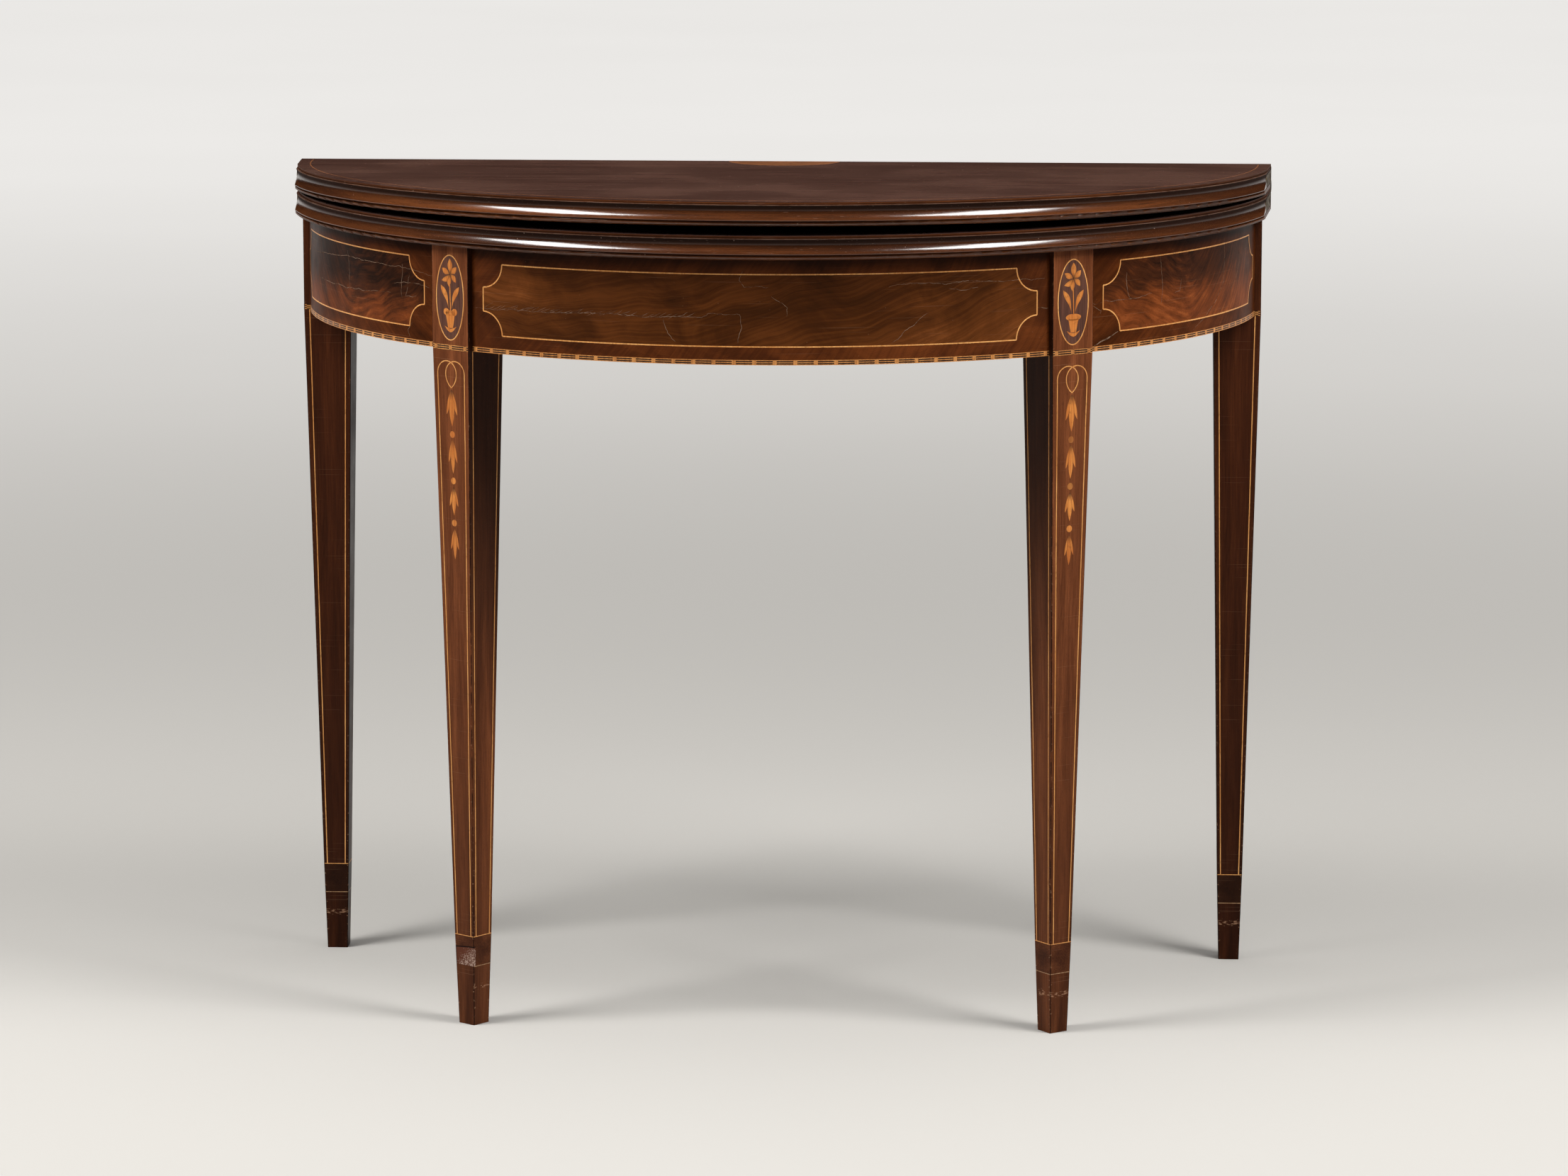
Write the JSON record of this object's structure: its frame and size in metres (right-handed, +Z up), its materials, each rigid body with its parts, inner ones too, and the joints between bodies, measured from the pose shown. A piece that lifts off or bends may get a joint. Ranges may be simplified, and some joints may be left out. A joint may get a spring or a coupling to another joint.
{
  "type": "demilune fold-over table",
  "caption": "Half-round fold-over table with moulded hinged leaf, curved inlaid frieze, square tapered legs and swinging rear gate legs that carry the opened leaf.",
  "frame": {"origin": "on the floor, under the middle of the table's bounding box at rest (leaf folded)", "axes": "+X to the right along the straight back edge, +Y to the straight back edge, -Y to the bowed front, +Z up"},
  "size_m": [0.9076, 0.4637, 0.754],
  "materials": {
    "leaf_mahogany": "polished dark red-brown mahogany with a worn gloss",
    "frieze_mahogany": "figured orange-brown mahogany veneer, polished",
    "ladder_banding": "light and dark ladder banding",
    "leg_mahogany": "polished mahogany",
    "carcass_wood": "bare carcass wood, darkened with age",
    "oval_ground": "dark stained ground of the oval panels",
    "pale_inlay": "pale inlay wood under old polish",
    "hinge_brass": "tarnished brass",
    "dark_iron": "dark iron"
  },
  "bodies": {
    "frame": {"lower_leaf": "leaf_mahogany", "frieze_veneer_left": "frieze_mahogany", "frieze_veneer_centre": "frieze_mahogany", "frieze_veneer_right": "frieze_mahogany", "frieze_banding_left": "ladder_banding", "frieze_banding_centre": "ladder_banding", "frieze_banding_right": "ladder_banding", "front_leg_left": "leg_mahogany", "front_leg_right": "leg_mahogany", "frieze_core_left": "carcass_wood", "frieze_core_centre": "carcass_wood", "frieze_core_right": "carcass_wood", "inner_back_rail": "carcass_wood", "knuckle_rail": "carcass_wood", "glue_blocks": "carcass_wood", "oval_panel_left": "oval_ground", "oval_panel_right": "oval_ground", "lower_hinge_plate_left": "hinge_brass", "lower_hinge_plate_right": "hinge_brass", "hinge_pins": "hinge_brass", "knuckle_pins": "dark_iron", "rail_screws": "dark_iron", "lower_hinge_screws": "dark_iron"},
    "upper_leaf": {"upper_leaf": "leaf_mahogany", "half_patera": "pale_inlay", "upper_hinge_plate_left": "hinge_brass", "upper_hinge_plate_right": "hinge_brass", "upper_hinge_screws": "dark_iron"},
    "left_gate": {"left_fly_rail": "carcass_wood", "left_rear_leg": "leg_mahogany"},
    "right_gate": {"right_fly_rail": "carcass_wood", "right_rear_leg": "leg_mahogany"}
  },
  "joints": [
    {"name": "leaf_fold", "type": "hinge", "parent": "frame", "child": "upper_leaf", "pos_m": [0, 0.22637, 0.725], "axis": [-1, 0, 0], "range_deg": [0, 178.97]},
    {"name": "left_gate_swing", "type": "hinge", "parent": "frame", "child": "left_gate", "pos_m": [-0.15, 0.17313, 0.66], "axis": [0, 0, -1], "range_deg": [0, 90]},
    {"name": "right_gate_swing", "type": "hinge", "parent": "frame", "child": "right_gate", "pos_m": [0.15, 0.17313, 0.66], "axis": [0, 0, 1], "range_deg": [0, 90]}
  ]
}
